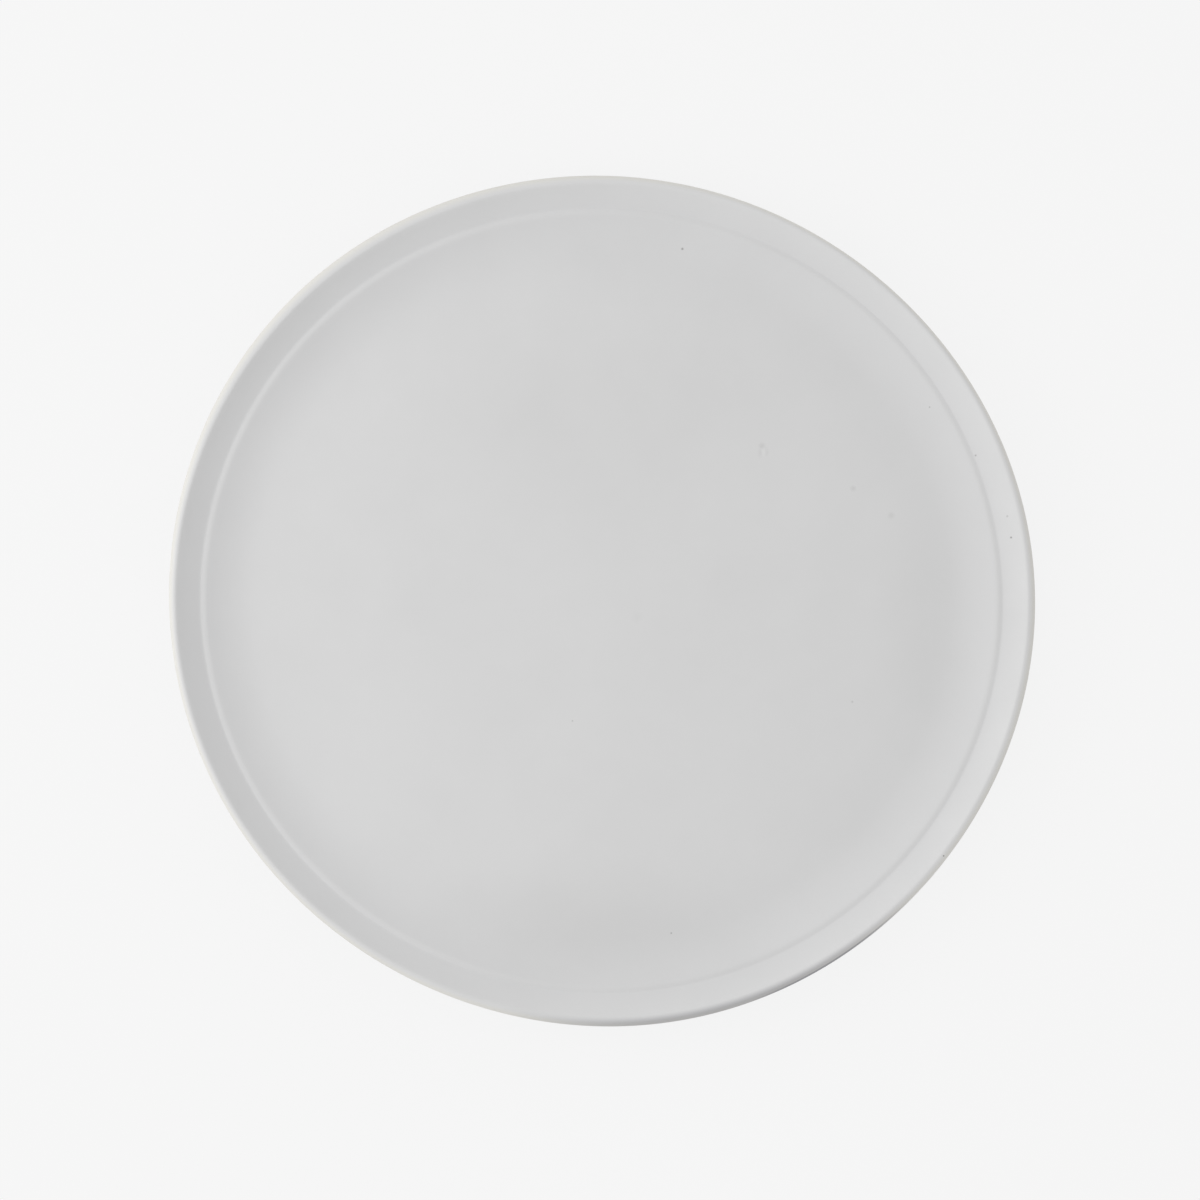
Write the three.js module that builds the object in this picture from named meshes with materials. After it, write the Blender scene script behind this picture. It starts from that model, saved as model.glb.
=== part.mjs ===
// Porcelain dinner plate with a low raised rim, in millimetres, +Z up.
// The plate stands on the table at z = 0, centred on the Z axis, +X along its longer side.
//
// What it is made of, from the inside out:
//   porcelain_body  the fired clay: floor, cove, ledge, rim wall and lip, flat underneath
//   foot_ring       a ring of the same clay luted under the body, with a bare edge to stand on
//   face_glaze      the coat on the eating side, from the middle out over the lip
//   back_glaze      the coat on the outside, from the lip down to the foot ring's bare edge
//   recess_glaze    the coat inside the foot ring
// Each piece is turned from a profile of (radius, height) points, then drawn out into the
// slightly oval outline of a plate that moved in the kiln.
import * as THREE from "three";

// Overall size
const PLATE_DIAMETER = 270; // across the lip, mean of the oval
const PLATE_HEIGHT = 18; // table to the crest of the lip

// Lip, rounded over from the inner wall to the outermost edge
const LIP_OUTER_ROLL = 2.15; // crest to the outermost edge, a quarter round
const LIP_INNER_ROLL = 1.05; // crest to the top of the inner wall, in plan
const LIP_INNER_DROP = 0.5; // crest to the top of the inner wall, in height

// Rim wall, and the narrow ledge that draws a line round its base
const RIM_WIDTH = 9.85; // outermost edge to the base of the inner wall, in plan
const WALL_BOW = 0.55; // how far the inner wall hollows behind its chord
const WALL_THICKNESS = 4; // body and glaze together, behind the base of the wall
const LEDGE_WIDTH = 0.85;
const LEDGE_DROP = 0.11; // how far the ledge dips on its way to the wall

// Well
const SHOULDER_WIDTH = 1.6; // rounding from the cove over to the ledge
const COVE_WIDTH = 12.7; // floor's edge to the shoulder
const COVE_RISE = 2.5;
const CROWN_DIAMETER = 116; // flat middle of the floor
const CROWN_RISE = 2; // middle of the floor above the floor's edge
const FALL_START = 0.6; // share of the way out over which the crown's level holds the fall back
const FALL_END = 0.1; // share of the way over which the fall levels out at the floor's edge
const FLOOR_THICKNESS = 4.3; // body and glaze together, at the floor's edge

// Foot ring
const FOOT_DIAMETER = 170; // middle of the ring
const FOOT_HEIGHT = 6.5; // table to the plate's underside
const FOOT_SEAT_WIDTH = 9; // at the top, against the body
const FOOT_REST_WIDTH = 4.6; // at the bottom, with the glaze
const FOOT_EDGE = 0.6; // chamfer each side of the face it stands on
const BARE_HEIGHT = 1.3; // band above the table that is wiped clean of glaze

// Underside, outside the foot ring
const SHELF_WIDTH = 10; // flat before the underside starts to rise

// Glaze
const GLAZE_THICKNESS = 0.25;
const BOND_LINE = 0.05; // between the glaze and the clay, and round the foot ring's seat

// Oval outline: the long radius less the mean one, and the long side's turn from +X
const WELL_OVAL = 1.49;
const WELL_OVAL_TURN = -8;
const LIP_OVAL = 1.49;
const LIP_OVAL_TURN = -18;

// Facets
const FACETS_ROUND = 80;
const STEPS_FLOOR = 5;
const STEPS_COVE = 3;
const STEPS_SHOULDER = 3;
const STEPS_WALL = 3;
const STEPS_INNER_ROLL = 2;
const STEPS_OUTER_ROLL = 4;
const STEPS_BACK = 4;

// Places that follow from the sizes
const PLATE_RADIUS = PLATE_DIAMETER / 2;
const CROWN_RADIUS = CROWN_DIAMETER / 2;
const WALL_BASE_RADIUS = PLATE_RADIUS - RIM_WIDTH;
const LEDGE_RADIUS = WALL_BASE_RADIUS - LEDGE_WIDTH;
const SHOULDER_RADIUS = LEDGE_RADIUS - SHOULDER_WIDTH;
const FLOOR_RADIUS = SHOULDER_RADIUS - COVE_WIDTH;
const CREST_RADIUS = PLATE_RADIUS - LIP_OUTER_ROLL;
const LIP_EDGE_HEIGHT = PLATE_HEIGHT - LIP_OUTER_ROLL;
const FOOT_RADIUS = FOOT_DIAMETER / 2;
const FLOOR_HEIGHT = FOOT_HEIGHT + FLOOR_THICKNESS;
const SHOULDER_HEIGHT = FLOOR_HEIGHT + COVE_RISE;
const COVE_SLOPE = (2 * COVE_RISE) / COVE_WIDTH; // where a parabola of this width and rise ends
const SHOULDER_PEAK = SHOULDER_HEIGHT + (COVE_SLOPE * SHOULDER_WIDTH) / 2; // before its rounding
const LEDGE_DIP = LEDGE_DROP / LEDGE_WIDTH;
const LEDGE_HEIGHT = SHOULDER_PEAK - (LEDGE_DIP * SHOULDER_WIDTH) / 2;
const WALL_BASE_HEIGHT = LEDGE_HEIGHT - LEDGE_DROP;
const WALL_TOP_RADIUS = CREST_RADIUS - LIP_INNER_ROLL;
const WALL_TOP_HEIGHT = PLATE_HEIGHT - LIP_INNER_DROP;
const CLAY_DEPTH = GLAZE_THICKNESS + BOND_LINE; // skin of the plate to the clay beneath

const point = (radius, height) => new THREE.Vector2(radius, height);

// A curve's points after its first, which the curve before it has already given.
const along = (curve, steps) => curve.getPoints(steps).slice(1);

// The skin of the eating side, from the axis out to the outermost edge of the lip.
function faceSkin() {
  const crownHeight = FLOOR_HEIGHT + CROWN_RISE;
  const crown = point(CROWN_RADIUS, crownHeight);
  const floorEdge = point(FLOOR_RADIUS, FLOOR_HEIGHT);
  const shoulder = point(SHOULDER_RADIUS, SHOULDER_HEIGHT);
  const ledge = point(LEDGE_RADIUS, LEDGE_HEIGHT);
  const wallBase = point(WALL_BASE_RADIUS, WALL_BASE_HEIGHT);
  const wallTop = point(WALL_TOP_RADIUS, WALL_TOP_HEIGHT);
  const crest = point(CREST_RADIUS, PLATE_HEIGHT);
  const lipEdge = point(PLATE_RADIUS, LIP_EDGE_HEIGHT);

  const fallWidth = FLOOR_RADIUS - CROWN_RADIUS;
  const fall = new THREE.CubicBezierCurve(
    crown, point(CROWN_RADIUS + FALL_START * fallWidth, crownHeight),
    point(FLOOR_RADIUS - FALL_END * fallWidth, FLOOR_HEIGHT), floorEdge);
  const cove = new THREE.QuadraticBezierCurve(
    floorEdge, point((FLOOR_RADIUS + SHOULDER_RADIUS) / 2, FLOOR_HEIGHT), shoulder);
  const roundOver = new THREE.QuadraticBezierCurve(
    shoulder, point((SHOULDER_RADIUS + LEDGE_RADIUS) / 2, SHOULDER_PEAK), ledge);

  const chord = wallTop.clone().sub(wallBase);
  const behind = point(chord.y, -chord.x).setLength(WALL_BOW);
  const hollow = wallBase.clone().lerp(wallTop, 0.5).add(behind);
  const wall = new THREE.QuadraticBezierCurve(wallBase, hollow, wallTop);
  const wallTopRun = wallTop.x - hollow.x;
  const wallTopRise = wallTop.y - hollow.y;
  const rollRadius = wallTop.x + (LIP_INNER_DROP * wallTopRun) / wallTopRise;
  const innerRoll = new THREE.QuadraticBezierCurve(wallTop, point(rollRadius, PLATE_HEIGHT), crest);
  const outerRoll = new THREE.EllipseCurve(
    CREST_RADIUS, LIP_EDGE_HEIGHT, LIP_OUTER_ROLL, LIP_OUTER_ROLL, Math.PI / 2, 0, true);

  return [
    point(0, crownHeight),
    crown,
    ...along(fall, STEPS_FLOOR),
    ...along(cove, STEPS_COVE),
    ...along(roundOver, STEPS_SHOULDER),
    wallBase,
    ...along(wall, STEPS_WALL),
    ...along(innerRoll, STEPS_INNER_ROLL),
    ...along(outerRoll, STEPS_OUTER_ROLL).slice(0, -1),
    lipEdge,
  ];
}

// The skin of the outside, from the outermost edge of the lip in to the top of the foot ring.
function backSkin() {
  const lipEdge = point(PLATE_RADIUS, LIP_EDGE_HEIGHT);
  const wallBase = point(WALL_BASE_RADIUS, WALL_BASE_HEIGHT);
  const shelfEdge = point(FOOT_RADIUS + FOOT_SEAT_WIDTH / 2 + SHELF_WIDTH, FOOT_HEIGHT);
  const footTop = point(FOOT_RADIUS + FOOT_SEAT_WIDTH / 2, FOOT_HEIGHT);

  // Behind the base of the wall the back runs parallel to the wall's chord.
  const lean = Math.atan2(WALL_TOP_HEIGHT - WALL_BASE_HEIGHT, WALL_TOP_RADIUS - WALL_BASE_RADIUS);
  const heelSlope = Math.tan(lean);
  const heel = point(Math.sin(lean), -Math.cos(lean)).multiplyScalar(WALL_THICKNESS).add(wallBase);
  const outerPull = point(PLATE_RADIUS, heel.y + (PLATE_RADIUS - heel.x) * heelSlope);
  const innerPull = point(heel.x - (heel.y - FOOT_HEIGHT) / heelSlope, FOOT_HEIGHT);

  return [
    lipEdge,
    ...along(new THREE.QuadraticBezierCurve(lipEdge, outerPull, heel), STEPS_BACK),
    ...along(new THREE.QuadraticBezierCurve(heel, innerPull, shelfEdge), STEPS_BACK),
    footTop,
  ];
}

// One flank of the foot ring, from its top to the table. Side is +1 outside and -1 inside.
function footFlank(side) {
  const seat = point(FOOT_RADIUS + (side * FOOT_SEAT_WIDTH) / 2, FOOT_HEIGHT);
  const rest = point(FOOT_RADIUS + (side * FOOT_REST_WIDTH) / 2, 0);
  return { seat, rest, at: (height) => rest.clone().lerp(seat, height / FOOT_HEIGHT) };
}

// The whole glazed skin in one line, from the middle of the face round to the bare edge of the
// foot, and where along it the outermost edge of the lip comes.
const FACE_SKIN = faceSkin();
const LIP_EDGE = FACE_SKIN.length - 1;
const PLATE_SKIN = [...FACE_SKIN, ...backSkin().slice(1), footFlank(1).at(BARE_HEIGHT)];

// A line of points moved sideways by a distance, to the right of its direction of travel.
function inset(points, distance) {
  const rightOf = (from, to) => point(to.y - from.y, from.x - to.x).normalize();
  return points.map((here, i) => {
    const before = i > 0 ? rightOf(points[i - 1], here) : null;
    const after = i < points.length - 1 ? rightOf(here, points[i + 1]) : null;
    const a = before ?? after;
    const b = after ?? before;
    const mitre = a.clone().add(b).multiplyScalar(distance / (1 + a.dot(b)));
    return here.clone().add(mitre);
  });
}

// A point's radius once the plate is drawn out into its oval, blending from the well to the lip.
function ovalRadius(radius, angle) {
  const outward = THREE.MathUtils.clamp(
    (radius - LEDGE_RADIUS) / (PLATE_RADIUS - LEDGE_RADIUS), 0, 1);
  const stretch = (amount, turn) => amount * Math.cos(2 * (angle - THREE.MathUtils.degToRad(turn)));
  const well = stretch(WELL_OVAL / LEDGE_RADIUS, WELL_OVAL_TURN);
  const lip = stretch(LIP_OVAL / PLATE_RADIUS, LIP_OVAL_TURN);
  return radius * (1 + THREE.MathUtils.lerp(well, lip, outward));
}

// A closed solid turned about +Z from a profile, then drawn out into the oval.
function turned(profile) {
  const geometry = new THREE.LatheGeometry(profile, FACETS_ROUND).rotateX(Math.PI / 2);
  const position = geometry.getAttribute("position");
  for (let i = 0; i < position.count; i++) {
    const x = position.getX(i);
    const y = position.getY(i);
    const radius = Math.hypot(x, y);
    const grow = radius > 0 ? ovalRadius(radius, Math.atan2(y, x)) / radius : 1;
    position.setXY(i, x * grow, y * grow);
  }
  geometry.computeVertexNormals();
  return geometry;
}

const whiteGlaze = new THREE.MeshStandardMaterial({ color: "#dcdcda", roughness: 0.4, metalness: 0 });
const bareClay = new THREE.MeshStandardMaterial({ color: "#d9d5cc", roughness: 0.85, metalness: 0 });

function piece(name, profile, material) {
  const mesh = new THREE.Mesh(turned(profile), material);
  mesh.name = name;
  return mesh;
}

// The clay under both coats of glaze, closed by its flat underside.
function porcelainBody() {
  const clay = inset(PLATE_SKIN, CLAY_DEPTH).slice(0, -2);
  const profile = [...clay, point(0, FOOT_HEIGHT + CLAY_DEPTH)];
  return piece("porcelain_body", profile.reverse(), bareClay);
}

// The foot ring, under the glaze on its flanks and seated on the bare clay.
function footRing() {
  const seatHeight = FOOT_HEIGHT + CLAY_DEPTH - BOND_LINE;
  const [outer, inner] = [1, -1].map((side) => {
    const flank = footFlank(side);
    const lean = Math.atan2(side * (flank.seat.x - flank.rest.x), FOOT_HEIGHT);
    const clayAt = (height) => flank.at(height).sub(point((side * CLAY_DEPTH) / Math.cos(lean), 0));
    const edge = clayAt(FOOT_EDGE);
    return [clayAt(seatHeight), edge, point(edge.x - side * FOOT_EDGE, 0)];
  });
  const profile = [...inner, ...outer.reverse(), inner[0].clone()];
  return piece("foot_ring", profile, bareClay);
}

// The coat on the eating side.
function faceGlaze() {
  const skin = PLATE_SKIN.slice(0, LIP_EDGE + 1);
  const under = inset(PLATE_SKIN, GLAZE_THICKNESS).slice(0, LIP_EDGE + 1);
  const profile = [...skin, ...under.reverse()];
  return piece("face_glaze", profile.reverse(), whiteGlaze);
}

// The coat on the outside, carried down the foot ring's outer flank to its bare edge.
function backGlaze() {
  const skin = PLATE_SKIN.slice(LIP_EDGE).map((at) => at.clone());
  const under = inset(PLATE_SKIN, GLAZE_THICKNESS).slice(LIP_EDGE);
  skin[0].y -= BOND_LINE;
  under[0].y -= BOND_LINE;
  const profile = [...skin, ...under.reverse(), skin[0].clone()];
  return piece("back_glaze", profile.reverse(), whiteGlaze);
}

// The coat inside the foot ring, carried down its inner flank to the bare edge.
function recessGlaze() {
  const flank = footFlank(-1);
  const skin = [flank.at(BARE_HEIGHT), flank.seat, point(0, FOOT_HEIGHT)];
  const profile = [...skin, ...inset(skin, GLAZE_THICKNESS).reverse(), skin[0].clone()];
  return piece("recess_glaze", profile.reverse(), whiteGlaze);
}

const plate = new THREE.Group();
plate.add(porcelainBody(), footRing(), faceGlaze(), backGlaze(), recessGlaze());

export default plate;
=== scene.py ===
"""A white porcelain dinner plate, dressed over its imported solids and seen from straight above.

The plate is one turned form. A single line of (radius, height) points runs from the middle of the eating
side out over the rim and lip, down the back and on to the foot ring. Each piece takes its stretch of that
line, is given its thickness, is carried round the axis and is drawn slightly oval by the kiln.

Sizes are in millimetres and meshes in metres, in the frame of the solids: +Z up, the table at z = 0, +X to
the right of the view and +Y away from the viewer.
"""

from __future__ import annotations

import logging
import math
from dataclasses import dataclass, field
from enum import Enum
from typing import Any

import bpy
import numpy as np
from bpy.types import ID, Material, Node, NodeSocket, NodeTree, Object
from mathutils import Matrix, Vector

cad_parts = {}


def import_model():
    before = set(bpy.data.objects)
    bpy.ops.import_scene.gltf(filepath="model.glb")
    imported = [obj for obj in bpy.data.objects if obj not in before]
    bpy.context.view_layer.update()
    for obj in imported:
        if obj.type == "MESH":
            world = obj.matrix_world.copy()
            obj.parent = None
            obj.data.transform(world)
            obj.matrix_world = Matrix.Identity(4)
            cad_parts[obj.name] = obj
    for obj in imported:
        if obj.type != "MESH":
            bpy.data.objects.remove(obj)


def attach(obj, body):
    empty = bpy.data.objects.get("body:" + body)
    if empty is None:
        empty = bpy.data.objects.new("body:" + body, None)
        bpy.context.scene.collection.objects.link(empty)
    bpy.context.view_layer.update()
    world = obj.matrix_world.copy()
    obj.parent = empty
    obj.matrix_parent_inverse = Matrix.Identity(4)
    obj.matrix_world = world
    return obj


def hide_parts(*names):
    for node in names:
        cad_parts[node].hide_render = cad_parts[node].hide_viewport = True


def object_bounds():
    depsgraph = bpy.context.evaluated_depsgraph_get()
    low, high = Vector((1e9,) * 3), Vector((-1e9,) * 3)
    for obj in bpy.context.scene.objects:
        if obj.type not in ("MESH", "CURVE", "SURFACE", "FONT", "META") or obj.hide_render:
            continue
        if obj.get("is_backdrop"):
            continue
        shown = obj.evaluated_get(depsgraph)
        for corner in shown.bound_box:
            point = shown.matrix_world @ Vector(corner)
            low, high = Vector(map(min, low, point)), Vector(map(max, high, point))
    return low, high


LOG = logging.getLogger("dinner_plate")
MM = 0.001
BODY = "root"
COLUMNS_ROUND = 480
CURVE_STEPS = 160
AXIS_REACH = 1e-6
SHARP_CORNER = 40.0
# A wave texture's phase in radians, for each unit of scaled distance.
WAVE_RATE = 20.0
# Places of a Mix node's colour sockets: its two inputs and its output.
MIX_UNDER, MIX_OVER, MIX_COLOUR = 6, 7, 2


def bezier(*controls: tuple[float, float]) -> np.ndarray:
    """Points on a Bezier curve, found by mixing neighbouring controls until one point is left.

    Args:
        controls: The curve's control points, each (radius, height).

    Returns:
        Points from the first control to the last, at equal steps of the curve's parameter.
    """
    t = np.linspace(0.0, 1.0, CURVE_STEPS + 1)[:, None]
    mixed = [np.full((CURVE_STEPS + 1, 2), control, float) for control in controls]
    while len(mixed) > 1:
        mixed = [(1.0 - t) * near + t * far for near, far in zip(mixed, mixed[1:])]
    return mixed[0]


def joined(*lines: np.ndarray) -> np.ndarray:
    """One line from several that each start where the last one ends."""
    return np.vstack([lines[0], *(line[1:] for line in lines[1:])])


def run_of(line: np.ndarray) -> np.ndarray:
    """Distance along a line at each of its points, from 0 at its first."""
    steps = np.diff(line, axis=0)
    return np.concatenate([[0.0], np.cumsum(np.hypot(steps[:, 0], steps[:, 1]))])


def at_run(line: np.ndarray, distances: np.ndarray) -> np.ndarray:
    """Points of a line at the given distances along it."""
    run = run_of(line)
    return np.column_stack([np.interp(distances, run, line[:, axis]) for axis in (0, 1)])


def softened(line: np.ndarray, reach: float, pitch: float = 0.05) -> np.ndarray:
    """A line with its corners rounded off, as a fluid glaze rounds them.

    Each point becomes the mean of the line up to a reach on both sides, weighted by a raised cosine. Past
    an end, the line goes on as its own half turn about that end, so the ends stay where they are.

    Args:
        line: The line's points.
        reach: How far the mean goes to each side.
        pitch: Spacing of the points that are averaged.

    Returns:
        The rounded line, at even spacing.
    """
    total = run_of(line)[-1]
    even = at_run(line, np.linspace(0.0, total, round(total / pitch) + 1))
    half = round(reach / pitch)
    before = 2.0 * even[0] - even[half:0:-1]
    after = 2.0 * even[-1] - even[-2:-half - 2:-1]
    padded = np.vstack([before, even, after])
    weights = np.hanning(2 * half + 3)[1:-1]
    weights /= weights.sum()
    return np.column_stack([np.convolve(padded[:, axis], weights, "valid") for axis in (0, 1)])


def headings(line: np.ndarray) -> np.ndarray:
    """Direction of travel at each point of a line, in radians with no jumps."""
    ahead = np.gradient(line, axis=0)
    return np.unwrap(np.arctan2(ahead[:, 1], ahead[:, 0]))


def placed(name: str, data: ID) -> Object:
    """Puts a new object in the scene, at the origin.

    Args:
        name: Name of the object.
        data: Its mesh, lamp or camera.

    Returns:
        The new object.
    """
    thing = bpy.data.objects.new(name, data)
    bpy.context.scene.collection.objects.link(thing)
    return thing


@dataclass(frozen=True)
class SkinLine:
    """A stretch of the plate's skin, with the outside to the left of its direction of travel.

    Attributes:
        points: Its (radius, height) points.
        outward: The skin's unit normal at each point.
        bend: Turn per millimetre at each point, positive where the skin is hollow.
    """

    points: np.ndarray
    outward: np.ndarray
    bend: np.ndarray

    @classmethod
    def sampled(cls, line: np.ndarray, longest: float, sharpest: float) -> SkinLine:
        """Takes points from a fine line, closer together where it turns.

        The points are spaced evenly in length / longest + turn / sharpest.

        Args:
            line: A fine, smooth line.
            longest: Longest step between two points, in millimetres.
            sharpest: Largest turn between two points, in degrees.

        Returns:
            The sampled stretch of skin.
        """
        run = run_of(line)
        heading = headings(line)
        turn = np.abs(np.diff(heading))
        spent = np.diff(run) / longest + turn / math.radians(sharpest)
        measure = np.concatenate([[0.0], np.cumsum(spent)])
        count = math.ceil(measure[-1])
        distances = np.interp(np.linspace(0.0, measure[-1], count + 1), measure, run)
        heading_there = np.interp(distances, run, heading)
        outward = np.column_stack([-np.sin(heading_there), np.cos(heading_there)])
        bend = np.interp(distances, run, np.gradient(heading, run))
        return cls(at_run(line, distances), outward, bend)

    def stretch(self, start: int, stop: int) -> SkinLine:
        """The skin from one point to another, the last one included."""
        kept = slice(start, stop + 1)
        return SkinLine(self.points[kept], self.outward[kept], self.bend[kept])

    def beneath(self, depth: float, every: int = 1) -> np.ndarray:
        """Points a depth under the skin, under one skin point in so many and under the last."""
        keep = np.unique(np.append(np.arange(0, len(self.points), every), len(self.points) - 1))
        return self.points[keep] - depth * self.outward[keep]


class Flank(Enum):
    """The two sides of the foot ring, as the sign of the way they face from its middle."""

    OUTER = 1.0
    INNER = -1.0


@dataclass(frozen=True)
class PlateForm:
    """The turned shape of the plate, in millimetres, with the sizes of its solids.

    Attributes:
        fall_start: Share of the floor's fall over which the crown's level holds it back.
        fall_end: Share of the floor's fall over which it levels out at the floor's edge.
        bare_height: Height of the foot ring's edge that is wiped clean of glaze.
        shelf_width: Width of the flat underside outside the foot ring.
        glaze_round: How far the glaze rounds off every corner.
        fillet_round: How far it rounds off the hollow at the foot of the wall.
        fillet_reach: How far from that hollow the rounder line has faded out.
        longest_step: Longest step between two points of the skin.
        sharpest_turn: Largest turn between two points of the skin, in degrees.
    """

    diameter: float
    height: float
    lip_outer_roll: float = 2.15
    lip_inner_roll: float = 1.05
    lip_inner_drop: float = 0.5
    rim_width: float = 9.85
    wall_bow: float = 0.55
    wall_thickness: float = 4.0
    ledge_width: float = 0.85
    ledge_drop: float = 0.11
    shoulder_width: float = 1.6
    cove_width: float = 12.7
    cove_rise: float = 2.5
    crown_diameter: float = 116.0
    crown_rise: float = 2.0
    fall_start: float = 0.6
    fall_end: float = 0.1
    floor_thickness: float = 4.3
    foot_diameter: float = 170.0
    foot_height: float = 6.5
    foot_seat_width: float = 9.0
    foot_rest_width: float = 4.6
    foot_edge: float = 0.6
    bare_height: float = 1.3
    shelf_width: float = 10.0
    glaze: float = 0.25
    glaze_round: float = 0.36
    fillet_round: float = 1.1
    fillet_reach: float = 1.6
    longest_step: float = 3.2
    sharpest_turn: float = 4.0

    @property
    def radius(self) -> float:
        """Radius of the outermost edge."""
        return self.diameter / 2

    @property
    def wall_base_radius(self) -> float:
        """Radius where the inner wall rises from the ledge."""
        return self.radius - self.rim_width

    @property
    def ledge_radius(self) -> float:
        """Radius where the ledge starts."""
        return self.wall_base_radius - self.ledge_width

    @property
    def floor_height(self) -> float:
        """Height of the floor's edge."""
        return self.foot_height + self.floor_thickness

    @property
    def shoulder_peak(self) -> tuple[float, float]:
        """Where the cove's last slope, carried on, meets the line of the ledge.

        Returns:
            Its radius and height.
        """
        cove_slope = 2 * self.cove_rise / self.cove_width
        rise = cove_slope * self.shoulder_width / 2
        return (self.ledge_radius - self.shoulder_width / 2, self.floor_height + self.cove_rise + rise)

    @property
    def wall_base_height(self) -> float:
        """Height of the wall's base, at the low end of the dipping ledge."""
        dip = self.ledge_drop / self.ledge_width
        return self.shoulder_peak[1] - dip * (self.shoulder_width / 2 + self.ledge_width)

    @property
    def wall_top(self) -> tuple[float, float]:
        """Where the inner wall ends and the lip starts to round in."""
        crest = self.radius - self.lip_outer_roll
        return (crest - self.lip_inner_roll, self.height - self.lip_inner_drop)

    @property
    def lip_edge_height(self) -> float:
        """Height of the outermost edge."""
        return self.height - self.lip_outer_roll

    @property
    def flank_lean(self) -> float:
        """How far each flank of the foot ring moves out for a millimetre up."""
        return (self.foot_seat_width - self.foot_rest_width) / 2 / self.foot_height

    def floor_line(self) -> np.ndarray:
        """The floor, cove and ledge: a flat crown, a late fall, a parabola, a rounding and a slight dip.

        Returns:
            Points from the axis out to the base of the wall.
        """
        crown = self.crown_diameter / 2
        top = self.floor_height + self.crown_rise
        shoulder = self.ledge_radius - self.shoulder_width
        edge = shoulder - self.cove_width
        fall = edge - crown
        shoulder_height = self.floor_height + self.cove_rise
        ledge = (self.ledge_radius, self.wall_base_height + self.ledge_drop)
        return joined(
            bezier((0, top), (crown, top)),
            bezier((crown, top), (crown + self.fall_start * fall, top),
                   (edge - self.fall_end * fall, self.floor_height), (edge, self.floor_height)),
            bezier((edge, self.floor_height), ((edge + shoulder) / 2, self.floor_height),
                   (shoulder, shoulder_height)),
            bezier((shoulder, shoulder_height), self.shoulder_peak, ledge),
            bezier(ledge, (self.wall_base_radius, self.wall_base_height)),
        )

    def rim_line(self) -> np.ndarray:
        """The wall and lip: a hollow curve bowed off its chord, a rounding in and a quarter round out.

        Returns:
            Points from the base of the wall, over the crest, to the outermost edge.
        """
        crest = self.radius - self.lip_outer_roll
        base = np.array([self.wall_base_radius, self.wall_base_height])
        top = np.array(self.wall_top)
        chord = top - base
        behind = np.array([chord[1], -chord[0]]) / np.hypot(*chord)
        hollow = (base + top) / 2 + self.wall_bow * behind
        run, rise = top - hollow
        turn_in = (top[0] + self.lip_inner_drop * run / rise, self.height)
        angles = np.linspace(math.pi / 2, 0.0, CURVE_STEPS)
        roll = np.column_stack([crest + self.lip_outer_roll * np.cos(angles),
                                self.lip_edge_height + self.lip_outer_roll * np.sin(angles)])
        return joined(bezier(tuple(base), tuple(hollow), tuple(top)),
                      bezier(tuple(top), turn_in, (crest, self.height)), roll)

    def back_line(self) -> np.ndarray:
        """The outside: two curves that meet parallel to the wall behind its base, then the flat shelf.

        Returns:
            Points from the outermost edge in to the top of the foot ring.
        """
        wall_run = self.wall_top[0] - self.wall_base_radius
        wall_rise = self.wall_top[1] - self.wall_base_height
        lean = math.atan2(wall_rise, wall_run)
        heel = (self.wall_base_radius + self.wall_thickness * math.sin(lean),
                self.wall_base_height - self.wall_thickness * math.cos(lean))
        outer_pull = (self.radius, heel[1] + (self.radius - heel[0]) * math.tan(lean))
        inner_pull = (heel[0] - (heel[1] - self.foot_height) / math.tan(lean), self.foot_height)
        foot_top = self.flank_point(Flank.OUTER, self.foot_height)
        shelf_edge = (foot_top[0] + self.shelf_width, self.foot_height)
        return joined(bezier((self.radius, self.lip_edge_height), outer_pull, heel),
                      bezier(heel, inner_pull, shelf_edge), bezier(shelf_edge, foot_top))

    def flank_point(self, flank: Flank, height: float) -> tuple[float, float]:
        """A point on the skin of the foot ring's flank, which leans from its seat to its rest."""
        half_width = self.foot_rest_width / 2 + self.flank_lean * height
        return (self.foot_diameter / 2 + flank.value * half_width, height)

    def glazed_skin(self) -> SkinLine:
        """The face, the lip, the back and the outer flank down to its bare edge, corners rounded.

        Glaze fills the hollow at the foot of the wall, so the line there is a blend with a rounder one, by
        a share that falls evenly to each side of a point just up the wall.

        Returns:
            The skin from the axis, over the lip and round to the bare edge of the foot.
        """
        flank = bezier(self.flank_point(Flank.OUTER, self.foot_height),
                       self.flank_point(Flank.OUTER, self.bare_height))
        floor = self.floor_line()
        line = joined(floor, self.rim_line(), self.back_line(), flank)
        crisp, full = (softened(line, reach) for reach in (self.glaze_round, self.fillet_round))
        middle = run_of(floor)[-1] + self.fillet_reach / 2
        away = np.abs(np.linspace(0.0, run_of(line)[-1], len(crisp)) - middle)
        share = np.clip(1.0 - away / self.fillet_reach, 0.0, 1.0)[:, None]
        skin = (1.0 - share) * crisp + share * full
        return SkinLine.sampled(skin, self.longest_step, self.sharpest_turn)

    def recess_skin(self) -> SkinLine:
        """The inside of the foot ring: its flank and the flat recess, with the corner rounded.

        Returns:
            The skin from the bare edge of the foot up and in to the axis.
        """
        seat = self.flank_point(Flank.INNER, self.foot_height)
        line = joined(bezier(self.flank_point(Flank.INNER, self.bare_height), seat),
                      bezier(seat, (0.0, self.foot_height)))
        return SkinLine.sampled(softened(line, self.glaze_round), self.longest_step, self.sharpest_turn)


@dataclass(frozen=True)
class Ripple:
    """A wave round the plate: how many crests, how high in millimetres, and the first crest's angle."""

    crests: int
    height: float
    crest_at: float

    def at(self, angle: np.ndarray) -> np.ndarray:
        """Height of the wave at an angle, a plain cosine."""
        return self.height * np.cos(self.crests * (angle - math.radians(self.crest_at)))


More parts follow.
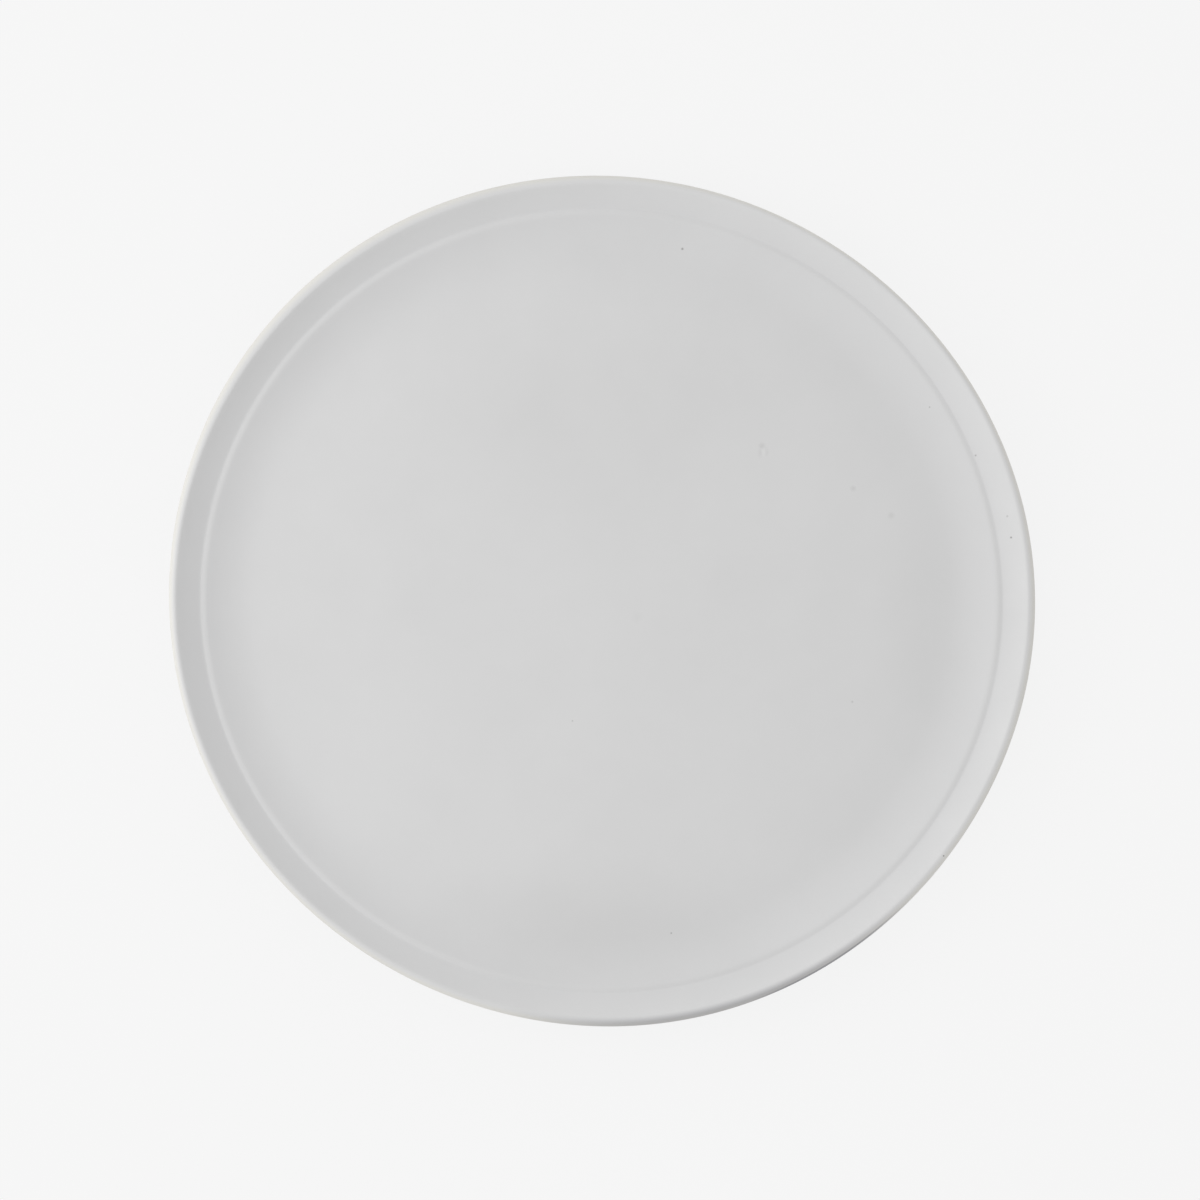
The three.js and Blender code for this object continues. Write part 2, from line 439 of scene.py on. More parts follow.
def waves(ripples: tuple[Ripple, ...], angle: np.ndarray) -> np.ndarray:
    """Height of several ripples together at an angle, which is their sum."""
    return sum(ripple.at(angle) for ripple in ripples)


@dataclass(frozen=True)
class LipBand:
    """A band along the lip's edge: thinner glaze with a painted highlight, or a painted shade.

    Attributes:
        at: The middle of the band, as an angle in degrees.
        reach: How far it goes to each side, in degrees.
        level: How strong it is there, 0 to 1.
        start: Where it starts, in millimetres outside the lip's crest.
        ramp: How much further out it is full.
        end: How far below the outermost edge it is gone.
    """

    at: float
    reach: float
    level: float
    start: float
    ramp: float
    end: float = 1.6

    def along(self, angle: np.ndarray) -> np.ndarray:
        """Its share round the edge: a flat-topped bell about its middle."""
        off = np.angle(np.exp(1j * (angle - math.radians(self.at))))
        return np.exp(-((off / math.radians(self.reach)) ** 4))

    def across(self, past_crest: np.ndarray, past_edge: np.ndarray) -> np.ndarray:
        """Its level across the edge: an even rise outside the crest and an even fall below the edge."""
        rise = np.clip((past_crest - self.start) / self.ramp, 0.0, 1.0)
        return self.level * rise * np.clip(1.0 - past_edge / self.end, 0.0, 1.0)


# Painted shade: dark grey bands on the lip's outer edge at the lower right.
LIP_PAINTED_SHADES = (LipBand(at=286.5, reach=24.0, level=0.57, start=-0.9, ramp=1.8),
            LipBand(at=301.0, reach=12.0, level=0.97, start=1.15, ramp=0.5))
# All round the lip's edge: lighter and warmer, partly thinner glaze and partly a painted highlight.
THIN_LIP_AND_HIGHLIGHT = LipBand(at=0.0, reach=360.0, level=1.0, start=0.3, ramp=1.4, end=2.0)


@dataclass(frozen=True)
class KilnWarp:
    """How the plate moved in drying and firing: its well and lip drew oval, and the lip sways a little."""

    form: PlateForm
    well_oval: tuple[Ripple, ...] = (Ripple(2, 1.49, -8.0),)
    lip_oval: tuple[Ripple, ...] = (
        Ripple(2, 1.49, -18.0), Ripple(3, 0.22, 19.0), Ripple(4, 0.14, 13.0), Ripple(5, 0.14, -2.0))
    lip_sway: tuple[Ripple, ...] = (Ripple(2, 0.16, 40.0), Ripple(3, 0.1, 75.0))
    crest_drift: tuple[Ripple, ...] = (
        Ripple(0, 0.1, 0.0), Ripple(1, 0.12, 0.0), Ripple(2, 0.25, 45.0), Ripple(3, 0.18, 60.0))
    glaze_edge: tuple[Ripple, ...] = (Ripple(5, 0.1, 20.0), Ripple(9, 0.07, 3.0), Ripple(16, 0.05, 11.0))

    def place(self, radius: np.ndarray, height: np.ndarray, angle: np.ndarray,
              drip: np.ndarray) -> np.ndarray:
        """Points of the warped plate.

        A radius is stretched by the well's oval inside the ledge and by the lip's at the outermost edge,
        with an even blend between them. The lip's sway lifts the rim by the same blend. Where a coat's
        lower edge drips, the point slides along the foot ring's flank.

        Args:
            radius: Radii before the warp, one row for each point of a line.
            height: Heights before the warp, the same.
            angle: Angles round the axis, one column for each.
            drip: How far a point takes part in the wave of the glaze's edge, from 0 to 1, by row.

        Returns:
            Array of rows by columns by (x, y, z), in metres.
        """
        form = self.form
        out = np.clip((radius - form.ledge_radius) / (form.radius - form.ledge_radius), 0.0, 1.0)
        well = waves(self.well_oval, angle) / form.ledge_radius
        lip = waves(self.lip_oval, angle) / form.radius
        slide = drip * waves(self.glaze_edge, angle)
        lean = np.sign(radius - form.foot_diameter / 2) * form.flank_lean
        moved = radius + lean * slide + self.crest_share(radius, height) * waves(self.crest_drift, angle)
        stretched = moved * (1.0 + (1.0 - out) * well + out * lip)
        lifted = height + slide + out * waves(self.lip_sway, angle)
        return MM * np.stack([stretched * np.cos(angle), stretched * np.sin(angle), lifted], axis=-1)

    def crest_share(self, radius: np.ndarray, height: np.ndarray) -> np.ndarray:
        """How far a point drifts with the lip's crest, falling evenly to none in mid-wall and at the edge.

        Args:
            radius: Radii before the warp.
            height: Heights before the warp, by which the back is left out.

        Returns:
            A share from 0 to 1 for each point.
        """
        form = self.form
        past = radius - (form.radius - form.lip_outer_roll)
        away = np.where(past < 0.0, -past / (form.rim_width / 2), past / form.lip_outer_roll)
        on_lip = height > form.lip_edge_height - form.lip_outer_roll
        return np.where(on_lip, np.clip(1.0 - away, 0.0, 1.0), 0.0)


@dataclass
class Turned:
    """A line carried round the axis: the points of a closed section and what each tells the finish.

    Attributes:
        line: The section's points, from axis to axis or closing on itself.
        thin_and_highlight: How far the glaze thins at each point and the lip's edge is painted lighter as a
            highlight, 0 to 1.
        pool_and_shade: How far the glaze gathers at each point, with painted shade low on the face, 0 to 1.
        drip: Share in the wave of the glaze's lower edge at each point, 0 to 1.
        painted_edge_shade: Share of each point in each band of painted shade on the lip, 0 to 1, with a
            column for each band.
    """

    name: str
    line: np.ndarray
    thin_and_highlight: np.ndarray
    pool_and_shade: np.ndarray
    drip: np.ndarray
    painted_edge_shade: np.ndarray

    def built(self, warp: KilnWarp) -> Object:
        """Makes the mesh: rings of points on a grid, joined by quads, with a fan at each end on the axis.

        Args:
            warp: Where the kiln puts each point.

        Returns:
            The new object, at the origin, with its finish attributes.
        """
        angle = np.linspace(0.0, 2 * math.pi, COLUMNS_ROUND, endpoint=False)[None, :]
        on_axis = self.line[:, 0] < AXIS_REACH
        rings = np.flatnonzero(~on_axis)
        poles = np.flatnonzero(on_axis)
        grid = warp.place(self.line[rings, :1], self.line[rings, 1:], angle, self.drip[rings, None])
        tips = np.column_stack([np.zeros((len(poles), 2)), MM * self.line[poles, 1]])
        index = np.arange(grid.shape[0] * COLUMNS_ROUND).reshape(grid.shape[0], COLUMNS_ROUND)
        beside = np.roll(index, -1, axis=1)
        if len(poles) == 0:
            index = np.vstack([index, index[:1]])
            beside = np.vstack([beside, beside[:1]])
        quads = np.stack([index[:-1], index[1:], beside[1:], beside[:-1]], axis=-1)
        faces = quads.reshape(-1, 4).tolist()
        if len(poles) == 2:
            first, last = (np.full(COLUMNS_ROUND, grid[..., 0].size + tip) for tip in (0, 1))
            faces += np.column_stack([first, index[0], beside[0]]).tolist()
            faces += np.column_stack([index[-1], last, beside[-1]]).tolist()

        mesh = bpy.data.meshes.new(self.name)
        mesh.from_pydata(np.vstack([grid.reshape(-1, 3), tips]).tolist(), [], faces)
        # The lip's painted shade bands, each by its share round the edge, the strongest holding.
        painted_edge_shade = np.max([self.painted_edge_shade[rings, place, None] * shade_band.along(angle)
                         for place, shade_band in enumerate(LIP_PAINTED_SHADES)], axis=0)
        spreads = {"thin_and_highlight": np.repeat(self.thin_and_highlight[rings], COLUMNS_ROUND),
                   "pool_and_shade": np.repeat(self.pool_and_shade[rings], COLUMNS_ROUND), "painted_edge_shade": painted_edge_shade.ravel()}
        for label, spread in spreads.items():
            values = np.append(spread, np.zeros(len(poles))).astype(np.float32)
            mesh.attributes.new(label, "FLOAT", "POINT").data.foreach_set("value", values)
        mesh.shade_smooth()
        mesh.set_sharp_from_angle(angle=math.radians(SHARP_CORNER))
        mesh.validate()
        return placed(self.name, mesh)


@dataclass(frozen=True)
class GlazeCoat:
    """A coat of glaze: a stretch of skin with the glaze's thickness under it.

    Attributes:
        pool_bend: Turn per millimetre at which a hollow has taken up all the glaze that it holds.
        low_painted_shade: How much painted shade darkens the face low down, in the cove and at the foot of
            the wall.
        low_from: Radius from which that painted shade starts in the cove.
        ledge_share: How much of that is left on the ledge between the two.
        every: One point in so many is kept on the hidden side.
    """

    form: PlateForm
    pool_bend: float = 4.0
    # Painted shade that darkens the face low down, towards the rim.
    low_painted_shade: float = 0.3
    low_from: float = 93.0
    ledge_share: float = 0.2
    every: int = 4

    def turned(self, name: str, skin: SkinLine, drips: bool = False) -> Turned:
        """The coat's closed section, the skin and then its hidden side, starting at the axis if it has one.

        Args:
            name: Name of the piece.
            skin: The stretch of skin that the coat shows.
            drips: Whether the coat ends in a wavy edge on the foot ring.

        Returns:
            The section, ready to be carried round.
        """
        form = self.form
        radius, height = skin.points.T
        under = skin.beneath(form.glaze, self.every)[::-1]
        if radius.min() < AXIS_REACH:
            under[np.abs(under[:, 0]) < form.glaze, 0] = 0.0
        line = np.vstack([skin.points, under])
        past_crest = radius - (form.radius - form.lip_outer_roll)
        past_edge = form.lip_edge_height - height
        hidden = np.zeros(len(under))
        # Per point: thinner glaze and painted highlight on the lip, gathering glaze with painted shade, and
        # painted shade bands.
        thin_and_highlight = np.append(THIN_LIP_AND_HIGHLIGHT.across(past_crest, past_edge), hidden)
        pool_and_shade = np.append(self.pooled_and_shaded(skin), hidden)
        painted_edge_shade = np.column_stack([np.append(shade_band.across(past_crest, past_edge), hidden) for shade_band in LIP_PAINTED_SHADES])
        down = (form.foot_height - line[:, 1]) / (form.foot_height - form.bare_height)
        drip = np.clip(down, 0.0, 1.0) ** 2 if drips else np.zeros(len(line))
        first = len(skin.points) if radius[-1] < AXIS_REACH else 0
        return Turned(name, *(np.roll(rows, -first, axis=0) for rows in (line, thin_and_highlight, pool_and_shade, drip, painted_edge_shade)))

    def pooled_and_shaded(self, skin: SkinLine) -> np.ndarray:
        """How far the glaze gathers by the bend of a hollow, plus painted shade where the face lies low.

        The painted shade goes in straight steps over the radius: up across the cove, down on the ledge, up
        again at the foot of the wall and down to none at the lip.

        Args:
            skin: The stretch of skin that the coat shows.

        Returns:
            A share for each point of the skin.
        """
        form = self.form
        shoulder = form.ledge_radius - form.shoulder_width
        wall_foot = form.wall_base_radius + form.ledge_width / 2
        places = (self.low_from, shoulder, form.ledge_radius, form.wall_base_radius, wall_foot)
        shares = (0.0, 1.0, self.ledge_share, self.ledge_share, 1.0)
        # Painted shade low on the face, in straight steps over the radius.
        low = np.interp(skin.points[:, 0], (*places, form.wall_top[0]), (*shares, 0.0))
        facing_up = skin.outward[:, 1] > 0.0
        return np.clip(skin.bend / self.pool_bend, 0.0, 1.0) + self.low_painted_shade * np.where(facing_up, low, 0.0)


@dataclass(frozen=True)
class ClayCore:
    """The fired clay: the body under the coats, and the foot ring with its bare edge.

    Attributes:
        every: One point of the skin in so many is kept on the body.
        ring_step: Longest step between two points of the foot ring.
        ring_turn: Largest turn between two points of the foot ring, in degrees.
    """

    form: PlateForm
    every: int = 2
    ring_step: float = 0.6
    ring_turn: float = 8.0

    def body(self, skin: SkinLine) -> Turned:
        """The body's section: a glaze's thickness under the face and back, then flat to the axis.

        Args:
            skin: The glazed skin, from the axis round to the foot ring.

        Returns:
            The section, ready to be carried round.
        """
        under = skin.beneath(self.form.glaze, self.every)
        clay_height = self.form.foot_height + self.form.glaze
        under = under[under[:, 1] > clay_height - AXIS_REACH]
        line = np.vstack([under, [(0.0, clay_height)]])
        line[0, 0] = 0.0
        return self.plain("porcelain_body_fine", line)

    def foot_ring(self) -> Turned:
        """The foot ring's section: seat, outer flank, rounded rest and inner flank, closing on itself.

        Returns:
            The section, ready to be carried round.
        """
        form = self.form
        seat_height = form.foot_height + form.glaze
        inset = form.glaze * math.hypot(1.0, form.flank_lean)
        corners = []
        for flank in (Flank.OUTER, Flank.INNER):
            seat = form.flank_point(flank, seat_height)[0] - flank.value * inset
            rest = form.flank_point(flank, 0.0)[0] - flank.value * inset
            corners.append(((seat, seat_height), (rest, 0.0)))
        (outer_seat, outer_rest), (inner_seat, inner_rest) = corners
        line = joined(bezier(outer_seat, outer_rest), bezier(outer_rest, inner_rest),
                      bezier(inner_rest, inner_seat))
        worn = softened(line, form.foot_edge)
        worn[:, 1] = np.clip(worn[:, 1], 0.0, seat_height)
        return self.plain("foot_ring_fine", SkinLine.sampled(worn, self.ring_step, self.ring_turn).points)

    @staticmethod
    def plain(name: str, line: np.ndarray) -> Turned:
        """A section of bare clay, which tells its finish nothing."""
        nothing = np.zeros(len(line))
        return Turned(name, line, nothing, nothing, nothing, np.zeros((len(line), len(LIP_PAINTED_SHADES))))


def linear(code: str) -> tuple[float, float, float, float]:
    """An sRGB hex colour as linear light, by the sRGB curve with its straight start.

    Args:
        code: The colour, as a hash and six hex digits.

    Returns:
        Linear red, green, blue and full alpha.
    """
    shares = [int(code[start:start + 2], 16) / 255 for start in (1, 3, 5)]
    levels = [share / 12.92 if share <= 0.04045 else ((share + 0.055) / 1.055) ** 2.4 for share in shares]
    return (*levels, 1.0)


def blank_material(name: str) -> Material:
    """Makes a material with no nodes in its tree yet.

    Args:
        name: Name of the material.

    Returns:
        The new material.
    """
    material = bpy.data.materials.new(name)
    material.use_nodes = True
    material.node_tree.nodes.clear()
    return material


def add_node(tree: NodeTree, kind: str, inputs: dict[str | int, Any] | None = None,
             **settings: Any) -> Node:
    """Adds a node, sets its settings, and sets or links its inputs.

    Args:
        tree: The tree that takes the node.
        kind: The node's type, such as ShaderNodeMath.
        inputs: For each input's name or place, a value, or an output socket to link.
        settings: The node's own settings.

    Returns:
        The new node.
    """
    node = tree.nodes.new(kind)
    for name, value in settings.items():
        setattr(node, name, value)
    for key, value in (inputs or {}).items():
        if isinstance(value, NodeSocket):
            tree.links.new(value, node.inputs[key])
        else:
            node.inputs[key].default_value = value
    return node


def per_metre(size: float) -> float:
    """A noise's scale for features of a size in millimetres, on coordinates in metres."""
    return 1.0 / (size * MM)


class MarkKind(Enum):
    """The marks that a fired glaze shows."""

    SPECK = "iron speck"
    SMUDGE = "faint smudge"
    # Painted shade: broad, faint darker patches standing in for how the light shades the face.
    PAINTED_SHADE = "broad shade where the glaze lies thicker"
    DIMPLE = "pinhole dimple"
    PIMPLE = "raised pimple"


@dataclass(frozen=True)
class Mark:
    """One mark: where it lies on the plate and its size in millimetres, and how strong it is.

    Attributes:
        x: Its middle, to the right of the plate's.
        y: Its middle, behind the plate's.
        across: Its size from left to right.
        strength: How strongly it shows, as a share or as a height in millimetres.
        along: Its size from front to back, where that isn't the same as across.
    """

    x: float
    y: float
    across: float
    strength: float
    along: float | None = None


FACE_MARKS = {
    MarkKind.SPECK: (
        Mark(25.6, 111.0, 1.2, 0.66),
        Mark(103.6, 61.0, 0.75, 0.5),
        Mark(118.0, 45.7, 0.95, 0.5),
        Mark(127.8, 26.5, 1.1, 0.3),
        Mark(129.0, 19.8, 0.95, 0.8),
        Mark(107.6, -80.3, 0.8, 0.9),
        Mark(22.1, -105.1, 0.9, 0.5),
        Mark(-9.1, -38.0, 0.9, 0.32),
        Mark(79.2, -32.0, 1.1, 0.25),
        # The last four, broad and faint, darken the skin at and near the dimple and the pimple: painted
        # shade of those bumps.
        Mark(79.6, 35.3, 2.7, 0.12),
        Mark(91.5, 26.8, 3.1, 0.11),
        Mark(50.7, 48.7, 3.2, 0.13),
        Mark(50.1, 46.6, 2.0, 0.07, along=4.6),
    ),
    MarkKind.SMUDGE: (Mark(11.3, -5.4, 5.0, 0.5),),
    # Painted shade: broad darker patches low, high, right and left on the face and on the right wall.
    MarkKind.PAINTED_SHADE: (
        Mark(-4.0, -104.0, 150.0, 0.7, along=58.0),
        Mark(101.0, -4.0, 36.0, 0.3, along=110.0),
        Mark(0.0, 58.0, 160.0, 0.3, along=90.0),
        Mark(34.0, 4.0, 70.0, 0.1, along=90.0),
        Mark(-99.0, 0.0, 52.0, 0.22, along=120.0),
        Mark(130.0, -10.0, 18.0, 0.28, along=80.0),
    ),
    MarkKind.DIMPLE: (Mark(79.6, 35.3, 2.7, 0.06),),
    MarkKind.PIMPLE: (Mark(51.7, 46.9, 2.6, 0.14, along=4.0),),
}


@dataclass(frozen=True)
class SatinGlaze:
    """White satin porcelain glaze, sprayed and fired.

    The eye sees an even, neutral white with soft highlights, a trace of the warm clay where the glaze thins
    on the lip, lightened there by a painted highlight, a slightly darker tone where it gathers, painted
    shade low on the face, in broad patches and on the lip's edge at the lower right, and a few iron specks.

    Attributes:
        cloud_span: The noise's levels at which the cloud's tint starts and is full.
        gloss_span: The noise's levels between which the roughness swings.
        cloud_mm: Size of the clouds.
        peel_mm: Size of the orange peel, drawn coarser than the real one so that it shows.
        sway_mm: Size of the slow sway of the surface.
        turning_mm: Spacing of the turning rings, with no depth where the glaze hides them.
    """

    name: str
    colour: str = "#dfdfdf"
    cloud_colour: str = "#dddddd"
    # Lighter and warmer: thinner glaze on the lip's edge, and a painted highlight there.
    thin_and_highlight_colour: str = "#e7e5de"
    # Darker: glaze gathering in hollows, and painted shade low on the face.
    pool_and_shade_colour: str = "#d4d4d5"
    # Dark grey painted shade on the lip's outer edge at the lower right.
    painted_edge_shade_colour: str = "#97979b"
    speck_colour: str = "#66635f"
    cloud_share: float = 1.0
    thin_and_highlight_share: float = 0.8
    pool_and_shade_share: float = 0.8
    painted_edge_shade_share: float = 1.0
    # Share of the broad patches of painted shade.
    painted_shade_share: float = 0.1
    smudge_share: float = 0.06
    speck_share: float = 1.0
    cloud_span: tuple[float, float] = (0.35, 0.7)
    gloss_span: tuple[float, float] = (0.3, 0.7)
    roughness: float = 0.5
    roughness_swing: float = 0.06
    ior: float = 1.5
    cloud_mm: float = 22.0
    peel_mm: float = 1.8
    peel_depth: float = 0.008
    sway_mm: float = 26.0
    sway_depth: float = 0.05
    turning_mm: float = 3.4
    turning_depth: float = 0.0
    marks: dict[MarkKind, tuple[Mark, ...]] = field(default_factory=dict)

    def material(self) -> Material:
        """Builds the glaze: clouded white, thinned and pooled tints, painted highlight and shade, marks,
        satin gloss and a fine peel.

        Returns:
            The new material.
        """
        material = blank_material(self.name)
        tree = material.node_tree
        spot = add_node(tree, "ShaderNodeTexCoord").outputs["Object"]
        cloud = add_node(tree, "ShaderNodeTexNoise", {
            "Vector": spot, "Scale": per_metre(self.cloud_mm), "Detail": 4.0,
            "Roughness": 0.55}).outputs["Fac"]
        clouded = add_node(tree, "ShaderNodeMapRange", {
            "Value": cloud, "From Min": self.cloud_span[0],
            "From Max": self.cloud_span[1]}).outputs["Result"]
        layers = [(clouded, self.cloud_share, self.cloud_colour)]
        spreads = (("thin_and_highlight", self.thin_and_highlight_share, self.thin_and_highlight_colour), ("pool_and_shade", self.pool_and_shade_share, self.pool_and_shade_colour),
                   ("painted_edge_shade", self.painted_edge_shade_share, self.painted_edge_shade_colour))
        for label, share, tint in spreads:
            spread = add_node(tree, "ShaderNodeAttribute", attribute_name=label).outputs["Fac"]
            layers.append((spread, share, tint))
        marks = self.mark_layers(tree, spot)
        # Painted shade patches, a faint smudge and iron specks, all mixed towards the speck colour.
        stains_and_shades = ((MarkKind.PAINTED_SHADE, self.painted_shade_share), (MarkKind.SMUDGE, self.smudge_share),
                  (MarkKind.SPECK, self.speck_share))
        layers += [(marks[kind], share, self.speck_colour) for kind, share in stains_and_shades if kind in marks]
        colour: NodeSocket | tuple[float, ...] = linear(self.colour)
        for amount, share, tint in layers:
            part = add_node(tree, "ShaderNodeMath", {0: amount, 1: share}, operation="MULTIPLY").outputs[0]
            colour = add_node(tree, "ShaderNodeMix", {
                0: part, MIX_UNDER: colour, MIX_OVER: linear(tint)},
                data_type="RGBA").outputs[MIX_COLOUR]
        rough = add_node(tree, "ShaderNodeMapRange", {
            "Value": cloud, "From Min": self.gloss_span[0], "From Max": self.gloss_span[1],
            "To Min": self.roughness - self.roughness_swing / 2,
            "To Max": self.roughness + self.roughness_swing / 2}).outputs["Result"]
        shader = add_node(tree, "ShaderNodeBsdfPrincipled", {
            "Base Color": colour, "Roughness": rough, "IOR": self.ior,
            "Normal": self.relief(tree, spot, marks)})
        add_node(tree, "ShaderNodeOutputMaterial", {"Surface": shader.outputs["BSDF"]})
        return material

    def mark_layers(self, tree: NodeTree, spot: NodeSocket) -> dict[MarkKind, NodeSocket]:
        """How strongly each kind of mark shows: a mark fades from its middle, and the strongest one holds.

        Args:
            tree: The material's tree.
            spot: The surface's Object coordinates.

        Returns:
            A socket for each kind that the glaze has.
        """
        layers: dict[MarkKind, NodeSocket] = {}
        for kind, marks in self.marks.items():
            shown: NodeSocket | float = 0.0
            for mark in marks:
                wide, deep = (2 * per_metre(size) for size in (mark.across, mark.along or mark.across))
                span = add_node(tree, "ShaderNodeVectorMath", {
                    0: spot, 1: (wide, deep, 0.0), 2: (-mark.x * MM * wide, -mark.y * MM * deep, 0.0)},
                    operation="MULTIPLY_ADD")
                away = add_node(tree, "ShaderNodeVectorMath", {0: span.outputs[0]}, operation="LENGTH")
                one = add_node(tree, "ShaderNodeMapRange", {
                    "Value": away.outputs["Value"], "To Min": mark.strength, "To Max": 0.0},
                    interpolation_type="SMOOTHSTEP")
                shown = add_node(tree, "ShaderNodeMath", {0: shown, 1: one.outputs["Result"]},
                                 operation="MAXIMUM").outputs[0]
            layers[kind] = shown
        return layers

    def relief(self, tree: NodeTree, spot: NodeSocket, marks: dict[MarkKind, NodeSocket]) -> NodeSocket:
        """The glaze's fine relief in millimetres: orange peel, a slow sway, turning rings and its marks.

        Args:
            tree: The material's tree.
            spot: The surface's Object coordinates.
            marks: The mark layers.

        Returns:
            The bumped normal's socket.
        """
        peel = add_node(tree, "ShaderNodeTexNoise", {"Vector": spot, "Scale": per_metre(self.peel_mm)})
        sway = add_node(tree, "ShaderNodeTexNoise", {
            "Vector": spot, "Scale": per_metre(self.sway_mm), "Detail": 1.0})
        layers = [(peel.outputs["Fac"], self.peel_depth), (sway.outputs["Fac"], self.sway_depth)]
        if self.turning_depth:
            rings = add_node(tree, "ShaderNodeTexWave", {
                "Vector": spot, "Scale": 2 * math.pi * per_metre(self.turning_mm) / WAVE_RATE,
                "Distortion": 1.5, "Detail": 2.0}, wave_type="RINGS", rings_direction="Z")
            layers.append((rings.outputs["Fac"], self.turning_depth))
        signs = {MarkKind.DIMPLE: -1.0, MarkKind.PIMPLE: 1.0}
        layers += [(marks[kind], sign) for kind, sign in signs.items() if kind in marks]
        height: NodeSocket | float = 0.0
        for layer, depth in layers:
            height = add_node(tree, "ShaderNodeMath", {0: layer, 1: depth, 2: height},
                              operation="MULTIPLY_ADD").outputs[0]
        return add_node(tree, "ShaderNodeBump", {"Height": height, "Distance": MM}).outputs["Normal"]


@dataclass(frozen=True)
class BareClay:
    """Unglazed fired porcelain, wiped and smoothed on the foot.

    The eye sees a dull, slightly warm off-white with a fine grit and soft, darker grain. Grain and grit are
    drawn coarser than the real ones so that they show.
    """

    name: str = "bare_porcelain_biscuit"
    colour: str = "#dcd8cf"
    grain_colour: str = "#cdc7bb"
    roughness: float = 0.9
    ior: float = 1.5
    grain_mm: float = 3.0
    grit_mm: float = 0.45
    grit_depth: float = 0.02

    def material(self) -> Material:
        """Builds the biscuit: warm white with soft grain and a gritty relief.

        Returns:
            The new material.
        """
        material = blank_material(self.name)
        tree = material.node_tree
        spot = add_node(tree, "ShaderNodeTexCoord").outputs["Object"]
        grain = add_node(tree, "ShaderNodeTexNoise", {
            "Vector": spot, "Scale": per_metre(self.grain_mm), "Detail": 6.0, "Roughness": 0.7})
        colour = add_node(tree, "ShaderNodeMix", {
            0: grain.outputs["Fac"], MIX_UNDER: linear(self.colour), MIX_OVER: linear(self.grain_colour)},
            data_type="RGBA").outputs[MIX_COLOUR]
        grit = add_node(tree, "ShaderNodeTexNoise", {
            "Vector": spot, "Scale": per_metre(self.grit_mm), "Detail": 3.0}).outputs["Fac"]
        bump = add_node(tree, "ShaderNodeBump", {"Height": grit, "Distance": self.grit_depth * MM})
        shader = add_node(tree, "ShaderNodeBsdfPrincipled", {
            "Base Color": colour, "Roughness": self.roughness, "IOR": self.ior,
            "Normal": bump.outputs["Normal"]})
        add_node(tree, "ShaderNodeOutputMaterial", {"Surface": shader.outputs["BSDF"]})
        return material


@dataclass(frozen=True)
class Lamp:
    """A soft square lamp that faces the plate.

    Attributes:
        azimuth: Where it stands round the plate, in degrees from +X towards +Y.
        elevation: How high it stands, in degrees above the table.
        distance: How far it is from the plate's middle, in metres.
        side: Its side, in metres.
        level: The share of a white card's brightness that it gives face on at the plate's middle.
    """

    name: str
    azimuth: float
    elevation: float
    distance: float
    side: float
    level: float

    def hang(self) -> None:
        """Adds the lamp: its power over (pi distance) squared is the share that a small source gives."""
        turn, rise = math.radians(self.azimuth), math.radians(self.elevation)
        way = Vector((math.cos(turn) * math.cos(rise), math.sin(turn) * math.cos(rise), math.sin(rise)))
        data = bpy.data.lights.new(self.name, "AREA")
        data.size = self.side
        data.energy = self.level * (math.pi * self.distance) ** 2
        lamp = placed(self.name, data)
        lamp.location = way * self.distance
        lamp.rotation_mode = "QUATERNION"
        lamp.rotation_quaternion = way.to_track_quat("Z", "Y")


